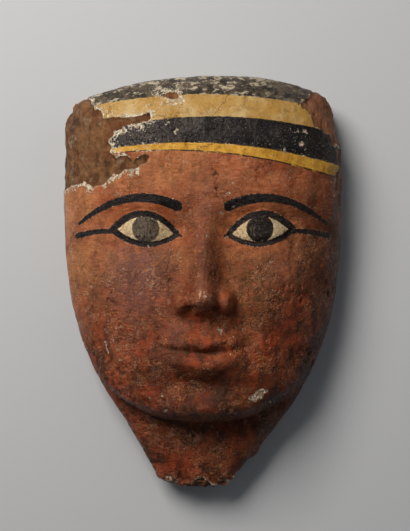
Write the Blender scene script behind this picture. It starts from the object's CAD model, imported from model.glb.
# %% [markdown]
# # A painted mummy mask
#
# The mask comes from the lid of an ancient Egyptian coffin. It is one block of wood, carved on the
# front, coated with white gesso and painted: a red-brown face with black brows and kohl lines, under
# the striped front of a headdress. This notebook takes the carved block, refines its surface, and
# paints and wears it the way the old object is painted and worn.
#
# Lengths in Blender are metres. The carving and the paint are laid out in millimetres, because that
# is how a carver would measure them, with X to the viewer's right and Y up the face.

# %% Load the carved block
import math

import bpy
import numpy as np
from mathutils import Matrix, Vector, noise


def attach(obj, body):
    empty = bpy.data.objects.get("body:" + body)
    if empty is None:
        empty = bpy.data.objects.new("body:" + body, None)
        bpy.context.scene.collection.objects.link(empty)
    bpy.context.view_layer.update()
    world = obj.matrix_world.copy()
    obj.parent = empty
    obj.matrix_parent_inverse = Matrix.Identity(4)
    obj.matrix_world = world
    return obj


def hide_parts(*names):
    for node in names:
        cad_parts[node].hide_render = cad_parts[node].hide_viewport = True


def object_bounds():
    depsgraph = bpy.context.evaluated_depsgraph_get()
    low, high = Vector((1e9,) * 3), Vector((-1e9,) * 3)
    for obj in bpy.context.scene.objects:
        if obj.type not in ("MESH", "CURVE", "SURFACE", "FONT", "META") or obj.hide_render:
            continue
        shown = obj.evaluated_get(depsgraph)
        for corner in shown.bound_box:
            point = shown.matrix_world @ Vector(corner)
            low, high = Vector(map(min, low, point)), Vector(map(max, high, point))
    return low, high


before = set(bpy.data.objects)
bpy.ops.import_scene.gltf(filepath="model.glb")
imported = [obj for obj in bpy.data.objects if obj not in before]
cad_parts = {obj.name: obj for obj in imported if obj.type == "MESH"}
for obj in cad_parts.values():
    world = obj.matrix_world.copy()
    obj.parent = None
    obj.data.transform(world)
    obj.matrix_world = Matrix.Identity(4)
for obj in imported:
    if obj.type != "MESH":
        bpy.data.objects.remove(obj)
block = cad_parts["carved_mask"]
cad_low, cad_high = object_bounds()
MM = 0.001  # a millimetre in metres
mask_width, mask_height, mask_depth = (size / MM for size in cad_high - cad_low)
print(f"carved block {mask_width:.1f} x {mask_height:.1f} x {mask_depth:.1f} mm")

# %% [markdown]
# ## The view
#
# The mask lies on its back and the camera looks straight down on it, so that it is seen full face. A
# long lens from well above keeps the face from bulging. The camera is made first, because everything
# after it is judged through it.

# %% Camera
VIEW_HEIGHT = 312  # millimetres from the top to the bottom of the picture, at the mask's edge
VIEW_CENTRE = (1.2, 10.7)  # the mask lies a little low in the picture
EDGE_LEVEL = 20  # how high the mask's edge stands above its back
LENS = 90  # millimetres, as on a real camera
SENSOR = 36

half_view = math.atan(SENSOR / 2 / LENS)
camera_height = EDGE_LEVEL + VIEW_HEIGHT / 2 / math.tan(half_view)
bpy.ops.object.camera_add(
    location=(VIEW_CENTRE[0] * MM, VIEW_CENTRE[1] * MM, camera_height * MM), rotation=(0, 0, 0))
camera = bpy.context.object
camera.name = "camera"
camera.data.lens = LENS
camera.data.sensor_width = SENSOR
bpy.context.scene.camera = camera
print(f"camera {camera_height:.0f} mm above the floor")

# %% [markdown]
# ## The canon of the face
#
# The face stands on the usual canon: equal thirds from chin to nose to brow, a mouth a third of the
# way down from nose to chin, eyes half way up the head, and a face five eyes wide. The carved block
# follows the same shares, so the paint lands on the carving.

# %% Places on the face
HEADDRESS_HEIGHT = 40  # millimetres, as in the carved block
NECK_LENGTH = 40
VISIBLE_THIRDS = 2.54  # thirds of the face between the chin and the headdress
HEAD_THIRDS = 3.5  # thirds of the face in a whole head

third = (mask_height - HEADDRESS_HEIGHT - NECK_LENGTH) / VISIBLE_THIRDS
eye_width = mask_width / 5
crown = mask_height / 2
chin = NECK_LENGTH - crown
mouth = chin + third * 2 / 3
nose_base = chin + third
eye_line = chin + HEAD_THIRDS * third / 2
brow_line = chin + 2 * third
mouth_half = 0.75 * eye_width
print(f"a third of the face is {third:.1f} mm and an eye is {eye_width:.1f} mm wide")

# %% [markdown]
# ## A surface fine enough to sculpt
#
# The block is made of flat facets. A sculptor would turn it into an even, dense skin first: a voxel
# remesh does that, and smoothing then melts the facets. The smoothing is weighted, strong on the
# broad cheeks and the forehead and weak on the nose, the lips and the eyes, so that the carving stays.

# %% Copy the block and remesh it
VOXEL = 0.9 * MM
SAME_PLACE = 0.01 * MM


def pick(piece):
    bpy.ops.object.select_all(action="DESELECT")
    piece.select_set(True)
    bpy.context.view_layer.objects.active = piece


def apply_modifier(piece, kind, **settings):
    modifier = piece.modifiers.new(kind.title(), kind)
    for name, value in settings.items():
        setattr(modifier, name, value)
    pick(piece)
    bpy.ops.object.modifier_apply(modifier=modifier.name)


mask = bpy.data.objects.new("painted_mask", block.data.copy())
bpy.context.scene.collection.objects.link(mask)
mask.data.materials.clear()
pick(mask)
bpy.ops.object.mode_set(mode="EDIT")
bpy.ops.mesh.select_all(action="SELECT")
bpy.ops.mesh.remove_doubles(threshold=SAME_PLACE)
bpy.ops.object.mode_set(mode="OBJECT")
apply_modifier(mask, "REMESH", mode="VOXEL", voxel_size=VOXEL, use_smooth_shade=True)
print(f"{len(mask.data.polygons)} faces after the remesh")

# %% Soft profiles, and points in millimetres
def hill(offset, reach):
    """One in the middle, falling softly to nothing at about twice the reach."""
    return np.exp(-((offset / reach) ** 2))


def rise(value, low, high):
    """A soft step from zero at low to one at high."""
    share = np.clip((value - low) / (high - low), 0, 1)
    return share * share * (3 - 2 * share)


def read_points(piece):
    flat = np.empty(len(piece.data.vertices) * 3, np.float32)
    piece.data.vertices.foreach_get("co", flat)
    return flat.reshape(-1, 3).astype(float) / MM


def read_normals(piece):
    flat = np.empty(len(piece.data.vertices) * 3, np.float32)
    piece.data.vertices.foreach_get("normal", flat)
    return flat.reshape(-1, 3).astype(float)


def write_points(piece, points):
    piece.data.vertices.foreach_set("co", (points * MM).astype(np.float32).ravel())
    piece.data.update()


print(f"{len(read_points(mask))} points, the highest {read_points(mask)[:, 2].max():.1f} mm up")

# %% Smooth the facets away
WEIGHT_STEPS = 20


def weigh(piece, name, weights):
    group = piece.vertex_groups.new(name=name)
    steps = np.round(weights * WEIGHT_STEPS).astype(int)
    for step in range(1, WEIGHT_STEPS + 1):
        members = np.flatnonzero(steps == step)
        group.add(members.tolist(), step / WEIGHT_STEPS, "REPLACE")


points = read_points(mask)
side = np.abs(points[:, 0])
features = np.maximum.reduce([
    hill(points[:, 0], 0.55 * eye_width) * rise(points[:, 1], nose_base - 8, nose_base + 2)
    * rise(-points[:, 1], -brow_line, -eye_line),
    hill(points[:, 1] - mouth, 0.2 * third) * hill(points[:, 0], 0.8 * eye_width),
    hill(points[:, 1] - eye_line, 0.2 * third) * hill(side - eye_width, 0.6 * eye_width),
    hill(points[:, 1] - chin - 0.1 * third, 0.1 * third),
])
front_only = rise(points[:, 2], EDGE_LEVEL - 1, EDGE_LEVEL + 4)
weigh(mask, "plain", front_only * (1 - 0.8 * features))
apply_modifier(mask, "SMOOTH", factor=0.5, iterations=60, vertex_group="plain")
apply_modifier(mask, "SMOOTH", factor=0.5, iterations=5)
mask.vertex_groups.clear()
print(f"{np.count_nonzero(front_only > 0.5)} points of the front smoothed")

# %% [markdown]
# ## Painted lines as distances
#
# Brows, kohl and stripes need clean edges, finer than the mesh. So each painted shape is stored on the
# points as a distance to its edge, in millimetres and negative inside, and the material draws the
# edge where the distance crosses zero. Distances blend evenly between points, so the edge stays sharp.

# %% Lines, areas and their distances
FAR_AWAY = 99.0


def arc(start, bend, end, count=24):
    """Points along a smooth bow from start to end, pulled towards bend."""
    t = np.linspace(0, 1, count)[:, None]
    start, bend, end = (np.array(place, float) for place in (start, bend, end))
    return (1 - t) ** 2 * start + 2 * t * (1 - t) * bend + t ** 2 * end


def to_segment(x, y, start, end):
    """The distance to a segment, and how far along it the nearest point lies, from 0 to 1."""
    run = end - start
    along = np.clip(((x - start[0]) * run[0] + (y - start[1]) * run[1]) / (run @ run), 0, 1)
    return np.hypot(x - start[0] - along * run[0], y - start[1] - along * run[1]), along


def stroke(x, y, line, half_widths):
    """The distance to the edge of a brush stroke whose half-width changes along its line."""
    nearest = np.full(len(x), FAR_AWAY)
    for i in range(len(line) - 1):
        away, along = to_segment(x, y, line[i], line[i + 1])
        half_width = half_widths[i] + along * (half_widths[i + 1] - half_widths[i])
        nearest = np.minimum(nearest, away - half_width)
    return nearest


def area(x, y, outline):
    """The distance to the edge of an area, negative inside."""
    outline = np.array(outline, float)
    nearest = np.full(len(x), FAR_AWAY)
    inside = np.zeros(len(x), bool)
    for start, end in zip(outline, np.roll(outline, -1, axis=0)):
        nearest = np.minimum(nearest, to_segment(x, y, start, end)[0])
        crosses = (start[1] > y) != (end[1] > y)
        reach = start[0] + (y - start[1]) / (end[1] - start[1] + 1e-9) * (end[0] - start[0])
        inside ^= crosses & (x < reach)
    return np.where(inside, -nearest, nearest)


print(f"a bow pulled 10 mm aside reaches {arc((0, 0), (5, 10), (10, 0), 3)[1, 1]:.0f} mm")

# %% The lids and brows
inner_corner = np.array([0.46 * eye_width, eye_line - 0.03 * third])
outer_corner = np.array([1.54 * eye_width, eye_line + 0.01 * third])
upper_lid = arc(inner_corner, (0.98 * eye_width, eye_line + 0.29 * third), outer_corner)
lower_lid = arc(inner_corner, (0.98 * eye_width, eye_line - 0.21 * third), outer_corner)
brow = arc((0.44 * eye_width, brow_line - 0.03 * third), (1.3 * eye_width, brow_line + 0.17 * third),
           (2.16 * eye_width, eye_line + 0.07 * third))
print(f"an eye is {np.ptp(upper_lid[:, 1]) + np.ptp(lower_lid[:, 1]):.1f} mm high")

# %% [markdown]
# ## Carving the features
#
# The block has the large forms. A knife then gave the face its lines: the rims of the lids, the line
# between the lips, the creases round the wings of the nose and two shallow nostrils. Each is a small
# groove or dent, pressed in along the surface by a soft profile.

# %% Grooves and dents
NOSTRIL_DEPTH = 1.1


def groove(x, y, line, width, depth):
    away = stroke(x, y, line, np.zeros(len(line)))
    return -depth * hill(away, width)


points = read_points(mask)
normals = read_normals(mask)
x, y, z = points.T
side = np.abs(x)
on_front = rise(normals[:, 2], 0.0, 0.25)

lip_line = arc((-mouth_half, mouth + 0.05 * third), (0, mouth - 0.06 * third),
               (mouth_half, mouth + 0.05 * third))
wing_crease = arc(
    (0.44 * eye_width, nose_base + 0.3 * third), (0.72 * eye_width, nose_base + 0.16 * third),
    (0.52 * eye_width, nose_base - 0.02 * third))
carved = (
    groove(side, y, upper_lid, 1.0, 0.45)
    + groove(side, y, upper_lid + (0, 0.055 * third), 1.3, 0.4)
    + groove(side, y, lower_lid, 0.9, 0.35)
    + groove(x, y, lip_line, 1.1, 0.45)
    + groove(side, y, wing_crease, 1.3, 0.4)
)
points += normals * (carved * on_front)[:, None]

nostril = np.array([0.2 * eye_width, nose_base + 0.05 * third])
away = np.hypot((side - nostril[0]) / 3.0, (y - nostril[1]) / 2.4)
downward = rise(-normals[:, 1], 0.1, 0.5) * on_front
points -= normals * (NOSTRIL_DEPTH * hill(away, 0.8) * downward)[:, None]
write_points(mask, points)
print(f"deepest cut {carved.min():.2f} mm")

# %% [markdown]
# ## What time took away
#
# The upper left corner and part of the right one have lost their gesso, which came off as a skin
# about a millimetre thick, so bare wood lies a step below the paint. Small chips have dropped off, the
# old coats have dried into cracks and creases, and the lower end broke across the grain. The large
# losses are drawn as outlines in millimetres, as they look from the camera, so each point of the
# surface is first slid along its line of sight to the level of the mask's edge. The small chips and
# the unevenness come from seeded noise, the same on every run.

# %% The outlines of the losses
DRAWING_MIDDLE = np.array([0, 1.6])  # the losses and stripes are drawn from just above the middle

lost_left = [
    (-90, 130), (-62, 119), (-69, 108), (-64, 102), (-58, 95), (-50, 97), (-42, 95), (-29, 99),
    (-31, 95), (-40, 92), (-46, 91), (-53, 87), (-57, 82), (-54, 79), (-56, 75), (-49, 73), (-41, 71),
    (-31, 74), (-35, 69), (-43, 65), (-52, 62), (-58, 59), (-64, 55), (-70, 58), (-90, 52),
]
lost_right = [
    (90, 130), (66, 118), (64, 110), (57, 104), (62, 99), (67, 93), (70, 89), (74, 84), (79, 78),
    (79, 60), (80, 40), (90, 30),
]
scar = [(-25, 108.5), (-21, 111), (-15, 110), (-14, 107.5), (-20, 106.5)]
crack_lines = [
    arc((66.5, 87), (67.5, 83), (66.5, 77)),
    arc((-36, 14), (-41, 6), (-50, -2)),
    arc((-50, -2), (-56, -9), (-58, -19)),
    arc((24, 3), (30, -12), (27, -28)),
    arc((-12, -62), (-18, -70), (-16, -82)),
    arc((6, 70), (9, 58), (7, 47)),
    arc((48, 38), (53, 20), (51, 4)),
]
crack_widths = [1.1, 0.12, 0.12, 0.15, 0.2, 0.1, 0.1]
jaw_chip = [(27, -69), (32, -65), (36, -63), (38, -65), (34, -69), (30, -71)]
print(f"{len(lost_left) + len(lost_right)} corners in the two large losses")

# %% Distances to the losses
def wobble(points, scale, amount, seed=0):
    """An even, repeatable unevenness, in the range from minus the amount to the amount."""
    shift = Vector((seed * 17.3, seed * 5.1, seed * 9.7))
    return amount * np.array([
        noise.fractal(Vector(p) / scale + shift, 0.9, 2.0, 4) for p in points.tolist()])


def as_seen(points):
    """The place of each point as the camera sees it, at the level of the mask's edge."""
    nearer = (camera_height - EDGE_LEVEL) / (camera_height - points[:, 2])
    seen = np.array(VIEW_CENTRE) + (points[:, :2] - VIEW_CENTRE) * nearer[:, None]
    return seen - DRAWING_MIDDLE


def flat(points):
    """The same points at no height, so that noise falls straight down on them."""
    return points * (1, 1, 0)


def loss_edge(points):
    """The distance to the edge of the bare wood, negative inside."""
    seen = as_seen(points).T
    ragged = wobble(flat(points), 8, 2.4, 1) + wobble(flat(points), 2.6, 0.9, 2)
    edge = np.minimum.reduce([area(*seen, outline) for outline in (lost_left, lost_right)]) + ragged
    edge = np.minimum(edge, area(*seen, scar) + 0.4 * ragged)
    worn_side = points[:, 2] - 8 - 6 * wobble(points * (1, 1, 0.3), 16, 1, 3)
    worn_end = points[:, 1] + crown - 3 - 5 * wobble(flat(points), 9, 1, 11)
    return np.minimum.reduce([edge, worn_side, worn_end])


def chip_edge(points):
    """The distance to the edge of the small chips in the paint, negative inside."""
    crowds = wobble(flat(points), 28, 1, 12)
    level = wobble(flat(points), 3.6, 1, 13) + 0.8 * crowds
    chips = 3.0 * (1.12 - level)
    seen = as_seen(points).T
    return np.minimum(chips, area(*seen, jaw_chip) + wobble(flat(points), 3, 1.2, 14))


def crack_edge(points):
    """The distance to the edge of the drying cracks, negative inside."""
    sway = wobble(flat(points), 9, 3.5, 18) + wobble(flat(points), 2.5, 0.8, 19)
    seen = as_seen(points) + sway[:, None] * (1, -0.4)
    return np.minimum.reduce([
        stroke(*seen.T, line, width * np.sin(np.linspace(0.3, math.pi, len(line))))
        for line, width in zip(crack_lines, crack_widths)])


print(f"the noise at the middle of the mask is {wobble(np.zeros((1, 3)), 8, 1, 1)[0]:.2f}")

# %% Lower the losses and chips, and leave the whole front uneven
GESSO_DEPTH = 0.8  # millimetres
CHIP_DEPTH = 0.35
CRACK_DEPTH = 0.3
CREASE_DEPTH = 1.5

points = read_points(mask)
normals = read_normals(mask)
on_front = rise(normals[:, 2], -0.2, 0.1)
loss = loss_edge(points)
chips = chip_edge(points)
grain = wobble(points * (1, 0.12, 1), 1.7, 0.14, 4) + wobble(points * (1, 0.6, 1), 5, 1.0, 15)
uneven = wobble(points, 26, 0.6, 5) + wobble(points, 8, 0.34, 6) + wobble(points, 3.2, 0.12, 16)
crumpled = rise(wobble(flat(points), 30, 1, 22), -0.05, 0.25) * rise(-points[:, 1], -20, 10)
uneven -= CREASE_DEPTH * crumpled * np.abs(wobble(points * (1, 0.75, 1), 4.5, 1, 21))
sunk = rise(-loss, -0.2, 0.5)
chipped = rise(-chips, -0.2, 0.4) * (1 - sunk)
split = CRACK_DEPTH * hill(np.maximum(crack_edge(points), 0), 0.7)
raised = uneven - split - sunk * (GESSO_DEPTH - grain) - chipped * CHIP_DEPTH
points += normals * (on_front * raised)[:, None]
write_points(mask, points)
print(f"{np.count_nonzero((loss < 0) & (normals[:, 2] > 0.2))} points of bare wood on the front")
print(f"{np.count_nonzero((chips < 0) & (normals[:, 2] > 0.2))} points of chipped paint")

# %% The broken ends and the tooled back
BROKEN_REACH = 14  # how far the splinters reach up from the lower end
ACROSS_PITCH = 12.0  # millimetres from one tool mark to the next, on the rim and in the hollow
HOLLOW_PITCH = 11.0

points = read_points(mask)
normals = read_normals(mask)
x, y, z = points.T
broken = rise(BROKEN_REACH - crown - y, 0, 10) + rise(np.abs(x) - 68, 0, 8) * rise(y - 96, 0, 8)
splinters = wobble(points, 9, 2.2, 7) + wobble(points * (1, 0.4, 1), 3.6, 0.8, 8)
backward = rise(-normals[:, 2], 0.2, 0.8)
swayed_y = y + wobble(points * (0.5, 1, 1), 30, 11, 9)
cut_across = 0.5 * np.abs(np.sin(swayed_y / ACROSS_PITCH * math.pi))
in_hollow = rise(z, 1.0, 4.0)
swayed_x = x + wobble(points * (1, 0.5, 1), 34, 11, 10)
gouged = 0.8 * np.abs(np.sin(swayed_x / HOLLOW_PITCH * math.pi))
tooled = -backward * (cut_across * (1 - in_hollow) + gouged * in_hollow)
worn_edge = wobble(points, 6, 0.5, 17) * (1 - on_front)
points += normals * (broken * splinters + tooled + worn_edge)[:, None]
points[:, 2] = np.maximum(points[:, 2], 0)
write_points(mask, points)
print(f"tool marks up to {-tooled.min():.1f} mm deep")

# %% Thin out the plain back
FACES_KEPT_BEHIND = 0.25
SIDEWAYS = 0.12  # a surface whose normal rises less than this looks sideways or back

pick(mask)
bpy.ops.object.mode_set(mode="EDIT")
bpy.ops.mesh.select_all(action="DESELECT")
bpy.ops.object.mode_set(mode="OBJECT")
face_normals = np.empty(len(mask.data.polygons) * 3, np.float32)
mask.data.polygons.foreach_get("normal", face_normals)
facing_back = face_normals.reshape(-1, 3)[:, 2] < SIDEWAYS
mask.data.polygons.foreach_set("select", facing_back)
bpy.ops.object.mode_set(mode="EDIT")
bpy.ops.mesh.select_mode(type="FACE")
bpy.ops.mesh.decimate(ratio=FACES_KEPT_BEHIND)
bpy.ops.object.mode_set(mode="OBJECT")
points = read_points(mask)
points[:, 2] = np.maximum(points[:, 2], 0)
write_points(mask, points)
mask.data.calc_loop_triangles()
print(f"{len(mask.data.loop_triangles)} triangles")

# %% [markdown]
# ## Laying out the paint
#
# The paint is drawn from simple strokes and bows on the canon, mirrored from one side to the other.
# Every edge is kept as a distance, and the stripes of the headdress as one number that runs from
# stripe to stripe, so that soft steps can paint them all. Broad soft patches say where the paint is
# plum, ochre, olive or dark, and where hands have rubbed it.

# %% Distances to the kohl and the eyes
def store(name, values):
    layer = mask.data.attributes.new(name, "FLOAT", "POINT")
    layer.data.foreach_set("value", np.asarray(values, np.float32))


points = read_points(mask)
normals = read_normals(mask)
x, y, z = points.T
side = np.abs(x)
count = len(upper_lid)

lid_lines = np.minimum.reduce([
    stroke(side, y, upper_lid + (0, 0.9), np.linspace(1.6, 2.1, count)),
    stroke(side, y, lower_lid - (0, 0.5), np.linspace(1.4, 1.7, count)),
    stroke(side, y, arc(inner_corner, inner_corner - (1.6, 0.2), inner_corner - (3.4, 1.4)),
           np.linspace(1.2, 0.5, count)),
    stroke(side, y, arc(outer_corner - (2.5, 1.2), (1.8 * eye_width, eye_line + 0.015 * third),
                        (2.2 * eye_width, eye_line - 0.04 * third)), np.linspace(1.2, 1.7, count)),
])
brow_widths = 0.5 + 2.4 * np.sqrt(np.linspace(1, 0.03, count))
kohl = np.minimum(lid_lines, stroke(side, y, brow, brow_widths))
eye_opening = area(side, y, np.vstack([upper_lid, lower_lid[-2:0:-1]]))
iris = np.hypot(side - 0.98 * eye_width, y - eye_line - 0.02 * third) - 0.235 * eye_width
iris = np.maximum(iris, eye_opening)

store("kohl", kohl)
store("eye_opening", eye_opening)
store("iris", iris)
print(f"{np.count_nonzero(kohl < 0)} points under the kohl")

# %% The count from stripe to stripe
# The middle, the sag and the tilt of each edge, in millimetres.
STRIPE_EDGES = [(109.7, 11.0, 0.0), (96.8, 12.6, -1.7), (81.0, 11.6, 2.4), (76.4, 11.2, 5.6)]
STRIPE_STEP = 12  # millimetres for one step of the count, above and below the stripes

seen_x, seen_y = as_seen(points).T
half_across = seen_x / (mask_width / 2)
edges = [middle - sag * half_across ** 2 - tilt * half_across for middle, sag, tilt in STRIPE_EDGES]
stripe = 1 - (seen_y - edges[0]) / STRIPE_STEP
for i in range(3):
    passed = (edges[i] - seen_y) / (edges[i] - edges[i + 1])
    stripe = np.where(seen_y < edges[i], i + 1 + passed, stripe)
stripe = np.where(seen_y < edges[3], 4 + (edges[3] - seen_y) / STRIPE_STEP, stripe)
store("stripe", stripe)
print(f"stripes counted from {stripe.min():.1f} to {stripe.max():.1f}")

# %% Distances to the bare wood, the chips and the cracks
faces_in = -(x * normals[:, 0] + y * normals[:, 1]) / (np.hypot(x, y) + 1)
bare_behind = 20 * (normals[:, 2] + 0.25)
bare_sides = np.where(normals[:, 2] < SIDEWAYS, 2 - 10 * faces_in, FAR_AWAY)
bare_wood = np.minimum.reduce([loss_edge(points), bare_behind, bare_sides])
store("loss", bare_wood)
store("chip", chip_edge(points))
store("crack", np.where(normals[:, 2] < 0, FAR_AWAY, crack_edge(points)))
print(f"{np.count_nonzero(bare_wood < 0)} points of bare wood in all")

# %% Grooves and ridges, found by comparison with a smoothed copy
FINE_RELIEF = 0.35  # millimetres that count as one ridge
BROAD_RELIEF = 2.5


def relief(piece, iterations):
    """How far each point stands proud of a smoothed copy of the piece, in millimetres."""
    copy = bpy.data.objects.new("smoothed", piece.data.copy())
    bpy.context.scene.collection.objects.link(copy)
    apply_modifier(copy, "SMOOTH", factor=0.5, iterations=iterations)
    proud = ((read_points(piece) - read_points(copy)) * read_normals(piece)).sum(axis=1)
    bpy.data.objects.remove(copy)
    return proud


fine_relief = relief(mask, 12)
broad_relief = relief(mask, 120)
store("ridge", fine_relief / FINE_RELIEF + broad_relief / BROAD_RELIEF)
print(f"relief from {fine_relief.min():.2f} to {fine_relief.max():.2f} mm")

# %% Where the paint is plum, ochre, olive or dark
eyes_across = x / eye_width
thirds_up = (y - chin) / third


def patches(rows):
    """The strongest of some patches: share, eyes across, thirds up, half width, half height."""
    return np.maximum.reduce([
        share * hill(eyes_across - across, wide) * hill(thirds_up - up, tall)
        for share, across, up, wide, tall in rows])


plum = patches([
    (1.2, -1.1, 1.30, 0.65, 0.45), (0.7, -0.5, 0.80, 0.30, 0.30), (0.5, 1.2, 1.25, 0.50, 0.30),
    (0.6, 0.0, 1.50, 0.30, 0.50), (0.45, 0.2, 0.25, 0.80, 0.30), (0.5, 0.0, 2.00, 0.42, 0.30),
])
ochre = np.maximum.reduce([
    patches([
        (0.9, -1.0, 1.70, 1.20, 0.32), (0.9, 1.0, 1.70, 1.20, 0.32), (0.8, 0.85, 1.10, 0.35, 0.35),
        (0.6, -1.0, 0.567, 0.50, 0.20), (0.8, 0.61, -0.286, 0.67, 0.19),
    ]),
    0.6 * rise(y, brow_line + 2, brow_line + 12) * rise(-x, -50, 10),
    0.9 * rise(-eyes_across, 1.5, 2.1) * rise(thirds_up, 0.4, 1.0),
])
olive = patches([
    (1.0, 0.85, 1.25, 0.50, 0.30), (0.5, -1.9, 1.25, 0.40, 0.50), (0.6, 0.9, 0.30, 0.60, 0.25),
    (0.7, -0.427, -0.095, 0.61, 0.143),
])
low = 0.42 * rise(-thirds_up, -1.3, -0.667)
low += 0.65 * rise(-thirds_up, -0.767, -0.15) * rise(x, -75, -20)
low *= 1 - 0.22 * rise(-thirds_up, 0.05, 0.3)
low = np.maximum(low, patches([(0.5, 0.0, 1.40, 0.60, 0.50)]))
right = rise(eyes_across, 0.3, 2.4)
right *= 1 - 0.6 * rise(y, brow_line - 10, brow_line + 12)
right = np.maximum(right, rise(eyes_across, 2.05, 2.4) * rise(-y, -brow_line - 20, -brow_line))
handled = patches([
    (1.0, 0.0, 1.16, 0.24, 0.10), (0.4, -1.15, 0.617, 0.45, 0.28), (0.55, -0.6, 0.20, 0.50, 0.20),
    (0.6, -1.0, 1.35, 0.50, 0.22), (0.3, 0.9, 1.05, 0.35, 0.30), (0.7, -0.3, -0.127, 0.60, 0.143),
])
shares = {"handled": handled, "height": y, "plum": plum, "ochre": ochre, "olive": olive, "low": low,
          "right": right}
for name, values in shares.items():
    store(name, values)
print(f"{len(mask.data.attributes)} attributes on the mask")

# %% [markdown]
# ## Small building blocks for the materials
#
# The materials are node graphs. Building them in code goes faster with a few helpers: one that adds a
# node and links or sets its inputs, and short names for the nodes used most. Each adds its node to
# whatever is called `tree` at the time: one group after another, and in the end the material. All
# textures work in millimetres, from the Object coordinates times a thousand, so 6 means 6 mm.

# %% Node helpers
def add_node(kind, inputs=None, **settings):
    node = tree.nodes.new("ShaderNode" + kind)
    for name, value in settings.items():
        setattr(node, name, value)
    for name, value in (inputs or {}).items():
        if isinstance(value, bpy.types.NodeSocket):
            tree.links.new(value, node.inputs[name])
        else:
            node.inputs[name].default_value = value
    return node


def math_node(operation, first, second=0.0, clamp=False):
    node = add_node("Math", {0: first, 1: second}, operation=operation, use_clamp=clamp)
    return node.outputs[0]


def plus(first, second, clamp=False):
    return math_node("ADD", first, second, clamp)


def minus(first, second):
    return math_node("SUBTRACT", first, second)


def times(first, *others):
    for other in others:
        first = math_node("MULTIPLY", first, other)
    return first


def apart(value, middle):
    """How far a value lies from a middle, above or below it."""
    return math_node("ABSOLUTE", minus(value, middle))


def swing(cloudy, amount):
    """Noise moved down to swing about zero, and made larger by the amount."""
    return times(minus(cloudy, 0.5), amount)


def between(value, low, high, to_low=0.0, to_high=1.0):
    """A smooth step from to_low to to_high as the value goes from low to high."""
    places = {"Value": value, "From Min": low, "From Max": high, "To Min": to_low, "To Max": to_high}
    return add_node("MapRange", places, interpolation_type="SMOOTHSTEP").outputs[0]


def fading(distance, reach):
    """A straight slope, from 1 at no distance down to 0 at the reach."""
    places = {"Value": distance, "From Min": 0.0, "From Max": reach, "To Min": 1.0, "To Max": 0.0}
    return add_node("MapRange", places).outputs[0]


def mix_colors(share, under, over):
    return add_node("Mix", {0: share, 6: under, 7: over}, data_type="RGBA").outputs[2]


print("helpers for numbers and colours ready")

# %% Texture helpers
def millimetres():
    place = add_node("TexCoord").outputs["Object"]
    return add_node("Mapping", {"Vector": place, "Scale": (1000, 1000, 1000)}).outputs[0]


def stretched(place, scale, turn=0.0):
    """Places for a pattern that is longer where the scale is under 1, and turned by so many radians."""
    settings = {"Vector": place, "Scale": scale, "Rotation": (0, 0, turn)}
    return add_node("Mapping", settings).outputs[0]


def shrunk(place, size):
    """Places divided by a size that comes from a socket."""
    scale = math_node("DIVIDE", 1.0, size)
    return add_node("VectorMath", {0: place, 3: scale}, operation="SCALE").outputs[0]


def unevenness(place, size, detail, roughness, shift=0.0):
    """Cloudy noise from about 0.25 to 0.75, with blotches of the given size in millimetres."""
    vector = add_node("Mapping", {"Vector": place, "Location": (shift, shift * 2, shift * 3)})
    settings = {"Vector": vector.outputs[0], "Scale": 1 / size, "Detail": detail, "Roughness": roughness}
    return add_node("TexNoise", settings).outputs[0]


def stored(name):
    return add_node("Attribute", attribute_name=name).outputs["Fac"]


print("helpers for textures ready")

# %% Group helpers
def new_group(name, inputs, outputs):
    """An empty group, with what it is given and what it gives, each socket a name and a kind."""
    group = bpy.data.node_groups.new(name, "ShaderNodeTree")
    for direction, sockets in (("INPUT", inputs), ("OUTPUT", outputs)):
        for label, kind in sockets.items():
            group.interface.new_socket(label, in_out=direction, socket_type="NodeSocket" + kind)
    return group, group.nodes.new("NodeGroupInput").outputs, group.nodes.new("NodeGroupOutput").inputs


def use_group(name, inputs):
    return add_node("Group", inputs, node_tree=bpy.data.node_groups[name]).outputs


print("helpers for groups ready")

# %% [markdown]
# ## Bare wood
#
# Where the coats are gone, the old wood shows: dry, brown and fibrous, with the grain running up the
# face. Noise stretched along the grain makes fibres, and a second, larger one makes the broad light
# and dark bands. Dirt, stains and dust lie over them. The same tones give the height for the bump.

# %% Wood grain group
WOOD_DUST = (0.26, 0.18, 0.11, 1)

tree, given, gives = new_group(
    "wood_grain",
    {"Place": "Vector", "Light Wood": "Color", "Dark Wood": "Color", "Stain": "Color",
     "Fibre Width": "Float"},
    {"Color": "Color", "Height": "Float"})
along_grain = stretched(given["Place"], (1, 0.11, 0.4))
broad_bands = unevenness(along_grain, 7.0, 3, 0.6)
fibres = unevenness(shrunk(along_grain, given["Fibre Width"]), 1.0, 4, 0.7)
dirty = unevenness(given["Place"], 6.0, 6, 0.68)
tone = plus(times(broad_bands, 0.225), times(fibres, 0.275))
tone = plus(tone, times(dirty, 0.5))
wood = mix_colors(between(tone, 0.39, 0.62), given["Dark Wood"], given["Light Wood"])
soaked = unevenness(given["Place"], 15.0, 5, 0.65, shift=6)
wood = mix_colors(between(soaked, 0.46, 0.62, 0.0, 0.65), wood, given["Stain"])
dusty = unevenness(given["Place"], 6.0, 6, 0.75, shift=8)
wood = mix_colors(between(dusty, 0.54, 0.66, 0.0, 0.75), wood, WOOD_DUST)
tree.links.new(wood, gives["Color"])
tree.links.new(tone, gives["Height"])
print(f"{len(tree.nodes)} nodes in the wood grain")

# %% [markdown]
# ## Torn edges, cracks, specks, wrinkles and brush strokes
#
# Five more effects return all over the mask. A torn edge turns a stored distance into a ragged patch
# with a crumbly rim. Fine cracks follow the borders of irregular cells. Specks are the pits where a
# crumb of paint has dropped off. Wrinkles are the thin raised lines of an old coat that has shrunk,
# drawn where noise crosses its middle value. Brush strokes are long soft streaks across the face.

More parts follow.
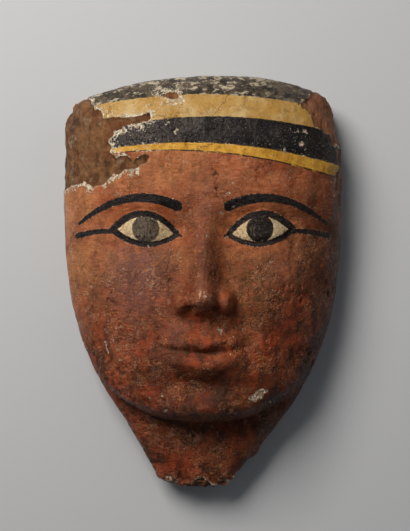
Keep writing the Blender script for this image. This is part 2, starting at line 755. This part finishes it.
# %% Torn edge group
tree, given, gives = new_group(
    "torn_edge",
    {"Place": "Vector", "Distance": "Float", "Raggedness": "Float", "Rim Width": "Float"},
    {"Inside": "Float", "Rim": "Float"})
coarse = unevenness(given["Place"], 2.2, 4, 0.65)
ragged_by = times(given["Raggedness"], 4.0)
edge = plus(given["Distance"], swing(coarse, ragged_by))
inside = between(edge, 0.12, -0.12)
crumbly = unevenness(given["Place"], 2.0, 6, 0.75, shift=31)
rim_reach = times(between(crumbly, 0.36, 0.68), given["Rim Width"])
rim_reach = minus(rim_reach, edge)
outside = minus(1.0, inside)
tree.links.new(inside, gives["Inside"])
tree.links.new(times(between(rim_reach, -0.1, 0.25), outside), gives["Rim"])
print(f"{len(tree.nodes)} nodes in the torn edge")

# %% Fine cracks group
tree, given, gives = new_group(
    "fine_cracks",
    {"Place": "Vector", "Cell Size": "Float", "Width": "Float", "Amount": "Float"},
    {"Mask": "Float"})
bent = unevenness(given["Place"], 3.0, 3, 0.6)
in_cells = shrunk(given["Place"], given["Cell Size"])
in_cells = add_node("VectorMath", {0: in_cells, 1: bent}, operation="ADD").outputs[0]
cells = add_node("TexVoronoi", {"Vector": in_cells, "Scale": 1.0}, feature="DISTANCE_TO_EDGE")
on_line = fading(times(cells.outputs[0], given["Cell Size"]), given["Width"])
regions = unevenness(given["Place"], 14.0, 3, 0.6, shift=7)
limit = minus(0.75, times(given["Amount"], 0.5))
cracked_here = between(minus(regions, limit), -0.03, 0.06)
tree.links.new(times(on_line, cracked_here), gives["Mask"])
print(f"{len(tree.nodes)} nodes in the fine cracks")

# %% Specks group
tree, given, gives = new_group(
    "specks", {"Place": "Vector", "Size": "Float", "Amount": "Float"}, {"Mask": "Float"})
dots = unevenness(shrunk(given["Place"], given["Size"]), 1.0, 3, 0.62)
crowds = unevenness(given["Place"], 16.0, 3, 0.6, shift=13)
level = plus(dots, times(crowds, 0.35))
level = plus(level, times(given["Amount"], 0.3))
tree.links.new(between(level, 0.98, 1.02), gives["Mask"])
print(f"{len(tree.nodes)} nodes in the specks")

# %% Wrinkles group
tree, given, gives = new_group(
    "wrinkles", {"Place": "Vector", "Size": "Float", "Width": "Float"}, {"Mask": "Float"})
folds = unevenness(shrunk(given["Place"], given["Size"]), 1.0, 4, 0.6)
on_fold = fading(apart(folds, 0.5), given["Width"])
clusters = unevenness(given["Place"], 15.0, 4, 0.6, shift=17)
wrinkled_here = between(clusters, 0.47, 0.56)
tree.links.new(times(on_fold, wrinkled_here), gives["Mask"])
print(f"{len(tree.nodes)} nodes in the wrinkles")

# %% Brush strokes group
tree, given, gives = new_group(
    "brushed_paint",
    {"Place": "Vector", "Thin Paint": "Color", "Thick Paint": "Color"},
    {"Color": "Color", "Height": "Float"})
along_stroke = stretched(given["Place"], (0.16, 0.9, 0.5), 0.12)
streaks = unevenness(along_stroke, 1.3, 4, 0.62)
clouds = unevenness(given["Place"], 11.0, 5, 0.62, shift=3)
coat = plus(times(streaks, 0.4), times(clouds, 0.6))
coat_color = mix_colors(between(coat, 0.36, 0.64), given["Thin Paint"], given["Thick Paint"])
tree.links.new(coat_color, gives["Color"])
tree.links.new(coat, gives["Height"])
print(f"{len(bpy.data.node_groups)} groups made")

# %% [markdown]
# ## The face paint
#
# The painter brushed a red-brown earth over white gesso. It is orange where it lies thin on the
# forehead and round the eyes, plum on the cheeks and dark low on the jaw. Crumbs of paint are missing
# all over, and handling has left pale scuffs. Each of these is a share of the surface and a colour, laid
# over the last one like a coat.

# %% Coats of the face
RED_EARTH = (0.315, 0.064, 0.018, 1)
THIN_RED = (0.480, 0.162, 0.070, 1)
ORANGE = (0.525, 0.215, 0.080, 1)
LID_RED = (0.560, 0.160, 0.052, 1)
PLUM = (0.185, 0.070, 0.054, 1)
OLIVE = (0.150, 0.066, 0.020, 1)
DARK_RED = (0.070, 0.014, 0.003, 1)

skin = bpy.data.materials.new("painted_and_worn_wood")
skin.use_nodes = True
tree = skin.node_tree
tree.nodes.clear()
place = millimetres()
up_face = stored("height")
rightward = stored("right")
rubbed_bare = stored("handled")
mottled = unevenness(place, 6.0, 5, 0.65, shift=5)
blotched = unevenness(place, 19.0, 5, 0.6, shift=9)

brushed = use_group("brushed_paint", {"Place": place, "Thin Paint": THIN_RED, "Thick Paint": RED_EARTH})
ochre_share = times(stored("ochre"), between(blotched, 0.34, 0.62))
lid_share = times(
    between(stored("eye_opening"), 10.0, 2.5), between(mottled, 0.35, 0.55, 0.55, 1.0), 0.85)
plum_share = times(stored("plum"), between(mottled, 0.3, 0.56, 0.35, 1.0))
olive_share = times(stored("olive"), between(mottled, 0.36, 0.56, 0.2, 0.95))
low_share = times(stored("low"), between(mottled, 0.35, 0.62, 1.0, 0.6))
right_share = times(rightward, between(blotched, 0.4, 0.6, 0.85, 0.35))
paint = brushed["Color"]
for share, coat_color in ((ochre_share, ORANGE), (lid_share, LID_RED), (plum_share, PLUM),
                          (olive_share, OLIVE), (low_share, DARK_RED), (right_share, DARK_RED)):
    paint = mix_colors(share, paint, coat_color)
print(f"{len(tree.nodes)} nodes for the coats")

# %% Fresh red and dark smears
FRESH_RED = (0.330, 0.044, 0.012, 1)
SMEAR_BROWN = (0.055, 0.019, 0.009, 1)

redder = unevenness(stretched(place, (1.0, 0.7, 1.0), 0.3), 12.0, 5, 0.6, shift=101)
fresh_share = times(
    between(redder, 0.38, 0.64, 0.2, 0.75), between(up_face, 15.0, -25.0, 0.15, 1.0),
    between(plum_share, 0.1, 0.6, 1.0, 0.25), between(olive_share, 0.1, 0.6, 1.0, 0.3))
paint = mix_colors(fresh_share, paint, FRESH_RED)

smeared = unevenness(stretched(place, (1.0, 0.55, 1.0), 0.5), 5.0, 6, 0.7, shift=71)
large_smears = unevenness(stretched(place, (1.0, 0.6, 1.0), -0.4), 13.0, 6, 0.62, shift=77)
smear_share = plus(between(smeared, 0.48, 0.60, 0.0, 0.7),
                   between(large_smears, 0.48, 0.58, 0.0, 0.6), clamp=True)
lower_half = plus(between(up_face, 5.0, -45.0, 0.40, 0.90), between(rightward, 0.2, 0.9, 0.0, 0.35))
paint = mix_colors(times(smear_share, lower_half), paint, SMEAR_BROWN)
print(f"{len(tree.nodes)} nodes with the smears")

# %% Flecks, scuffs, stains and crackle
FLECK_ORANGE = (0.50, 0.160, 0.042, 1)
SCUFF_PALE = (0.42, 0.23, 0.12, 1)
DIRT = (0.036, 0.018, 0.009, 1)

worn_here = between(unevenness(place, 15.0, 4, 0.6, shift=17), 0.46, 0.55)
flecks = unevenness(stretched(place, (0.7, 1.4, 1.0), 0.3), 2.4, 5, 0.62, shift=81)
flecked = times(between(flecks, 0.57, 0.64), between(worn_here, 0.0, 1.0, 0.10, 0.6))
paint = mix_colors(flecked, paint, FLECK_ORANGE)
scuffs = unevenness(stretched(place, (0.55, 0.25, 0.5), 0.6), 1.6, 4, 0.62, shift=21)
scuffed = times(between(scuffs, 0.60, 0.68), between(worn_here, 0.0, 1.0, 0.05, 0.5))
paint = mix_colors(scuffed, paint, SCUFF_PALE)
stains = unevenness(place, 2.6, 6, 0.72, shift=41)
stained = times(between(stains, 0.54, 0.66), between(up_face, 0.0, 40.0, 0.6, 0.35))
paint = mix_colors(stained, paint, DIRT)
crackle = use_group(
    "fine_cracks", {"Place": place, "Cell Size": 2.6, "Width": 0.18, "Amount": 0.5})["Mask"]
paint = mix_colors(times(crackle, 0.4), paint, DIRT)
print(f"{len(tree.nodes)} nodes with the stains")

# %% Wrinkles, glints and pale specks
WRINKLE_GOLD = (0.60, 0.25, 0.10, 1)
GLINT_PALE = (0.70, 0.44, 0.29, 1)
SPECK_PALE = (0.62, 0.42, 0.28, 1)

wrinkles = use_group("wrinkles", {"Place": place, "Size": 4.2, "Width": 0.019})["Mask"]
wrinkle_share = times(wrinkles, between(up_face, 30.0, -30.0, 0.3, 0.65))
paint = mix_colors(wrinkle_share, paint, WRINKLE_GOLD)
fine_wrinkles = use_group("wrinkles", {"Place": place, "Size": 2.6, "Width": 0.030})["Mask"]
glossy_here = between(unevenness(place, 9.0, 4, 0.6, shift=121), 0.56, 0.62, 0.0, 0.7)
glossy_here = plus(glossy_here, times(rubbed_bare, 0.75), clamp=True)
rubbed_pale = times(between(rubbed_bare, 0.40, 0.95, 0.0, 0.75), between(scuffs, 0.53, 0.60))
glints = math_node("MAXIMUM", times(fine_wrinkles, glossy_here), rubbed_pale)
paint = mix_colors(glints, paint, GLINT_PALE)
pale_specks = use_group("specks", {"Place": place, "Size": 0.8, "Amount": 0.50})["Mask"]
paint = mix_colors(times(pale_specks, 0.6), paint, SPECK_PALE)
print(f"{len(tree.nodes)} nodes in the face paint")

# %% [markdown]
# ## Headdress stripes
#
# Only the front edge of the striped headdress survives: a dark band nearly flaked away, a cream one, a
# black one and a thin yellow one. One stored number counts from band to band, so each edge is a soft
# step at a whole number, made a little unsteady like the hand that drew it. Pale crumbs fray the torn
# ends of the bands and the seam between the black and the yellow.

# %% The four bands
TOP_DARK = (0.024, 0.020, 0.016, 1)
TOP_WORN = (0.095, 0.072, 0.047, 1)
TOP_FLAKED = (0.42, 0.35, 0.25, 1)
CREAM = (0.53, 0.39, 0.180, 1)
CREAM_AGED = (0.41, 0.235, 0.062, 1)
CREAM_ON_RIGHT = (0.43, 0.215, 0.028, 1)
CREAM_STAINED = (0.20, 0.105, 0.045, 1)
BLACK = (0.003, 0.004, 0.006, 1)
BLACK_WORN = (0.011, 0.011, 0.012, 1)
BLACK_PITTED = (0.34, 0.31, 0.25, 1)
YELLOW = (0.66, 0.35, 0.046, 1)
YELLOW_AGED = (0.50, 0.24, 0.028, 1)

band_count = stored("stripe")
worn_dark = between(unevenness(place, 5.5, 5, 0.7, shift=19), 0.42, 0.62)
off_top_edge = apart(band_count, 0.62)
flaked = unevenness(stretched(place, (0.50, 1.1, 0.6)), 3.2, 6, 0.74, shift=2)
flaked = between(plus(flaked, times(off_top_edge, 0.16)), 0.572, 0.612)
flaked = times(flaked, between(rightward, 0.02, 0.22, 1.0, 0.25))
top_band = mix_colors(worn_dark, TOP_DARK, TOP_WORN)
top_band = mix_colors(flaked, top_band, TOP_FLAKED)

cream_band = mix_colors(between(blotched, 0.38, 0.6), CREAM, CREAM_AGED)
cream_band = mix_colors(between(rightward, 0.0, 0.5, 0.0, 0.85), cream_band, CREAM_ON_RIGHT)
cream_band = mix_colors(between(stains, 0.52, 0.66, 0.0, 0.6), cream_band, CREAM_STAINED)

black_pits = use_group("specks", {"Place": place, "Size": 0.75, "Amount": 0.62})["Mask"]
black_band = mix_colors(worn_dark, BLACK, BLACK_WORN)
black_band = mix_colors(times(black_pits, 0.3), black_band, BLACK_PITTED)
yellow_band = mix_colors(between(mottled, 0.4, 0.62), YELLOW, YELLOW_AGED)
print(f"{len(tree.nodes)} nodes with the bands")

# %% The bands on the headdress, with frayed edges
UNDER_LINE = (0.030, 0.014, 0.008, 1)
CRUMB_PALE = (0.50, 0.44, 0.33, 1)

unsteady = unevenness(place, 5.0, 3, 0.5, shift=15)
bristles = unevenness(stretched(place, (0.5, 1.0, 1.0)), 1.2, 4, 0.65, shift=37)
drawn_count = plus(band_count, swing(unsteady, 0.08))
drawn_count = plus(drawn_count, swing(bristles, 0.07))
headdress = mix_colors(between(drawn_count, 0.985, 1.015), top_band, cream_band)
headdress = mix_colors(between(drawn_count, 1.985, 2.015), headdress, black_band)
headdress = mix_colors(between(drawn_count, 2.96, 3.04), headdress, yellow_band)
under_share = times(between(drawn_count, 3.90, 3.95), between(mottled, 0.38, 0.5, 0.35, 1.0))
headdress = mix_colors(under_share, headdress, UNDER_LINE)

crumbs = unevenness(place, 1.1, 4, 0.65, shift=113)
clumps = unevenness(place, 5.0, 4, 0.6, shift=117)
frayed = times(between(stored("loss"), 12.0, 0.0, 0.0, 0.15), between(rightward, 0.0, 0.4, 1.0, 0.0))
frayed = plus(frayed, between(apart(band_count, 3.0), 0.16, 0.0, 0.0, 0.10))
frayed = times(frayed, between(clumps, 0.40, 0.60, 0.45, 1.15))
frayed = between(plus(crumbs, frayed), 0.67, 0.71, 0.0, 0.9)
headdress = mix_colors(frayed, headdress, CRUMB_PALE)
paint = mix_colors(between(drawn_count, 4.02, 4.05), headdress, paint)
print(f"{len(tree.nodes)} nodes with the headdress")

# %% [markdown]
# ## Eyes and brows
#
# The eyes are cream with a round black iris, and the lids, brows and the long cosmetic lines are kohl
# black laid on with a brush. Where the brush ran dry or the paint rubbed off, the black turns grey and
# lets the red through.

# %% Eyes
EYE_CREAM = (0.80, 0.62, 0.37, 1)
EYE_AGED = (0.66, 0.47, 0.25, 1)
EYE_CRACK = (0.16, 0.085, 0.04, 1)
IRIS_BLACK = (0.012, 0.011, 0.011, 1)
IRIS_WORN = (0.13, 0.098, 0.070, 1)

eye_cracks = use_group(
    "fine_cracks", {"Place": place, "Cell Size": 3.2, "Width": 0.16, "Amount": 0.85})["Mask"]
eye_white = mix_colors(between(mottled, 0.35, 0.65), EYE_CREAM, EYE_AGED)
eye_white = mix_colors(times(eye_cracks, 0.8), eye_white, EYE_CRACK)
jitter = swing(unevenness(place, 1.2, 4, 0.7, shift=27), 2.3)
in_eye = between(plus(stored("eye_opening"), jitter), 0.1, -0.1)
paint = mix_colors(in_eye, paint, eye_white)

wear_limit = {"Value": rightward, "From Min": 0.0, "From Max": 0.3, "To Min": 0.42, "To Max": 0.6}
wear_limit = add_node("MapRange", wear_limit).outputs[0]
iris_worn = unevenness(stretched(place, (1.0, 0.4, 1.0), 0.15), 1.3, 5, 0.72, shift=35)
iris_worn = between(minus(iris_worn, wear_limit), -0.04, 0.12)
iris_color = mix_colors(iris_worn, IRIS_BLACK, IRIS_WORN)
in_iris = between(plus(stored("iris"), times(jitter, 0.6)), 0.12, -0.12)
paint = mix_colors(in_iris, paint, iris_color)
print(f"{len(tree.nodes)} nodes with the eyes")

# %% Lids, brows and kohl lines
KOHL_BLACK = (0.005, 0.006, 0.008, 1)
KOHL_DRY = (0.030, 0.027, 0.025, 1)
KOHL_CRUMB = (0.60, 0.45, 0.31, 1)

kohl_edge = stored("kohl")
dry_brush = unevenness(stretched(place, (0.5, 1.0, 1.0)), 1.5, 5, 0.72, shift=33)
kohl_color = mix_colors(between(dry_brush, 0.42, 0.70), KOHL_BLACK, KOHL_DRY)
in_kohl = between(plus(kohl_edge, jitter), 0.15, -0.15)
paint = mix_colors(times(in_kohl, between(dry_brush, 0.72, 0.66)), paint, kohl_color)
by_kohl = between(apart(kohl_edge, 0.0), 1.0, 0.0, -0.1, 0.07)
kohl_crumbs = between(plus(crumbs, by_kohl), 0.66, 0.69, 0.0, 0.8)
paint = mix_colors(kohl_crumbs, paint, KOHL_CRUMB)
print(f"{len(tree.nodes)} nodes with the kohl")

# %% [markdown]
# ## Losses, cracks and dirt
#
# Over all the paint come the things that happened to it. Bare wood shows inside the torn outlines,
# with a crumbly rim of white gesso. Grime darkens the jaw and the right side, old dirt every groove,
# and handling has worn the ridges lighter. The same masks drive the roughness and the bump, so that
# colour and surface agree. The old varnish gives a weak, warm gloss, stronger where hands polished it.

# %% Cracks, chips and losses
GESSO_WHITE = (0.72, 0.64, 0.49, 1)
GESSO_DIRTY = (0.30, 0.22, 0.15, 1)
RED_WOOD = (0.260, 0.098, 0.046, 1)
CRACK_DARK = (0.014, 0.008, 0.005, 1)

old_wood = use_group("wood_grain", {
    "Place": place, "Light Wood": (0.240, 0.110, 0.043, 1), "Dark Wood": (0.055, 0.023, 0.009, 1),
    "Stain": (0.150, 0.048, 0.017, 1), "Fibre Width": 0.7})
wood_color = mix_colors(between(rightward, 0.0, 0.4, 0.0, 0.7), old_wood["Color"], RED_WOOD)
rim_width = between(unevenness(place, 9.0, 3, 0.6, shift=91), 0.42, 0.58, 0.3, 5.5)
rim_width = times(rim_width, between(rightward, 0.0, 0.4, 1.0, 0.2))
torn = use_group("torn_edge", {
    "Place": place, "Distance": stored("loss"), "Raggedness": 0.45, "Rim Width": rim_width})
chip = use_group("torn_edge", {
    "Place": place, "Distance": stored("chip"), "Raggedness": 0.15, "Rim Width": 0.5})
cracks = use_group(
    "fine_cracks", {"Place": place, "Cell Size": 17.0, "Width": 0.22, "Amount": 0.55})["Mask"]
split_open = between(plus(stored("crack"), times(jitter, 0.5)), 0.35, -0.05)
gesso_color = mix_colors(between(stains, 0.42, 0.6), GESSO_WHITE, GESSO_DIRTY)
chip_color = mix_colors(between(crumbs, 0.46, 0.56), gesso_color, old_wood["Color"])
color = paint
for share, layer in ((times(cracks, 0.8), DIRT), (chip["Inside"], chip_color),
                     (times(chip["Rim"], 0.6), gesso_color), (torn["Rim"], gesso_color),
                     (torn["Inside"], wood_color), (times(split_open, 0.85), CRACK_DARK)):
    color = mix_colors(share, color, layer)
print(f"{len(tree.nodes)} nodes with the losses")

# %% Grime, dirt in the grooves and worn ridges
GRIME = (0.022, 0.007, 0.003, 1)
WORN_RIDGE = (0.46, 0.24, 0.12, 1)

grimy = plus(times(stored("low"), 0.42), times(rightward, 0.48), clamp=True)
grimy = math_node("MULTIPLY", grimy, between(large_smears, 0.38, 0.58, 0.45, 1.15), clamp=True)
grimy = times(grimy, between(chip["Inside"], 0.0, 1.0, 1.0, 0.25))
color = mix_colors(grimy, color, GRIME)
ridge = stored("ridge")
color = mix_colors(between(ridge, -0.2, -1.4, 0.0, 0.6), color, DIRT)
on_ridge = times(between(ridge, 0.6, 1.8), between(smeared, 0.42, 0.56, 0.0, 0.4))
color = mix_colors(on_ridge, color, WORN_RIDGE)
print(f"{len(tree.nodes)} nodes with the dirt")

# %% Roughness and bump
DULL = 0.38
POLISHED = 0.13

waxy = plus(worn_here, rubbed_bare, clamp=True)
roughness = between(waxy, 0.0, 1.0, DULL, POLISHED)
roughness = plus(roughness, times(torn["Inside"], 0.26))
roughness = plus(roughness, times(torn["Rim"], 0.22))

on_face = between(drawn_count, 3.9, 4.1, 0.4, 1.0)
grit = unevenness(place, 0.9, 4, 0.65, shift=51)
crumble = unevenness(place, 3.0, 5, 0.62, shift=55)
puckered = unevenness(stretched(place, (0.8, 1.3, 1.0), 0.4), 1.6, 6, 0.72, shift=61)
puckered = times(puckered, on_face)
creased = apart(unevenness(place, 2.4, 3, 0.55, shift=105), 0.5)
creased = times(creased, between(waxy, 0.0, 1.0, 0.15, 1.0),
                between(up_face, 40.0, 0.0, 0.35, 1.0), on_face)
height = times(brushed["Height"], 0.6)
for relief_part, depth in (
        (grit, 0.14), (crumble, 0.25), (puckered, 0.9), (creased, -2.8), (pale_specks, -0.12),
        (cracks, -0.25), (crackle, -0.06), (wrinkles, 0.14), (glints, 0.2), (in_kohl, 0.04),
        (eye_cracks, -0.03), (torn["Rim"], 0.12)):
    height = plus(height, times(relief_part, depth))
wood_height = minus(times(old_wood["Height"], 5.0), 2.7)
height = add_node("Mix", {0: torn["Inside"], 2: height, 3: wood_height}, data_type="FLOAT").outputs[0]
bump = add_node("Bump", {"Height": height, "Distance": MM, "Strength": 0.85})
print(f"{len(tree.nodes)} nodes with the bump")

# %% The shader
VARNISH_GLOSS = 0.24
VARNISH_TINT = (1.0, 0.80, 0.70, 1)

shader = add_node("BsdfPrincipled", {
    "Base Color": color, "Roughness": roughness, "Normal": bump.outputs[0],
    "Specular IOR Level": VARNISH_GLOSS, "Specular Tint": VARNISH_TINT})
add_node("OutputMaterial", {"Surface": shader.outputs[0]})
mask.data.materials.append(skin)
print(f"{len(tree.nodes)} nodes in the material")

# %% [markdown]
# ## The studio
#
# The mask lies on a plain pale floor. One large soft light stands to the upper left, as in a museum
# photo. A weak second one from the upper right and the pale surroundings fill the shadows.

# %% Floor
FLOOR_SIZE = 30  # metres, so that its far edge never shows
FLOOR_GREY = (0.50, 0.51, 0.53, 1)

bpy.ops.object.select_all(action="DESELECT")
bpy.ops.mesh.primitive_plane_add(size=FLOOR_SIZE, location=(0, 0, 0))
floor = bpy.context.object
floor.name = "floor"
pale = bpy.data.materials.new("pale_floor")
pale.use_nodes = True
pale_shader = pale.node_tree.nodes["Principled BSDF"]
pale_shader.inputs["Base Color"].default_value = FLOOR_GREY
pale_shader.inputs["Roughness"].default_value = 0.85
floor.data.materials.append(pale)
print(f"floor {FLOOR_SIZE} m wide")

# %% Lights
def area_light(name, spot, size, power, color):
    bpy.ops.object.light_add(type="AREA", location=spot)
    light = bpy.context.object
    light.name = name
    light.data.size = size
    light.data.energy = power
    light.data.color = color
    light.rotation_euler = (-Vector(spot)).to_track_quat("-Z", "Y").to_euler()


area_light("key", (-0.42, 0.60, 0.80), 0.55, 13.2, (1.0, 0.96, 0.90))
area_light("fill", (0.7, 0.5, 0.9), 0.8, 0.5, (0.95, 0.97, 1.0))
world = bpy.data.worlds.new("studio")
world.use_nodes = True
surroundings = world.node_tree.nodes["Background"].inputs
surroundings["Color"].default_value = (0.9, 0.94, 1.0, 1)
surroundings["Strength"].default_value = 0.10
bpy.context.scene.world = world
bpy.context.scene.view_settings.view_transform = "Standard"
print(f"{len(bpy.data.lights)} lights")

# %% [markdown]
# ## Hand over
#
# The painted mask stands for the carved block, takes its finish from the block's slot and rides on
# the same body. The sizes before and after show that the dressing kept the block's size.

# %% Finish
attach(mask, "root")
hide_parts("carved_mask")
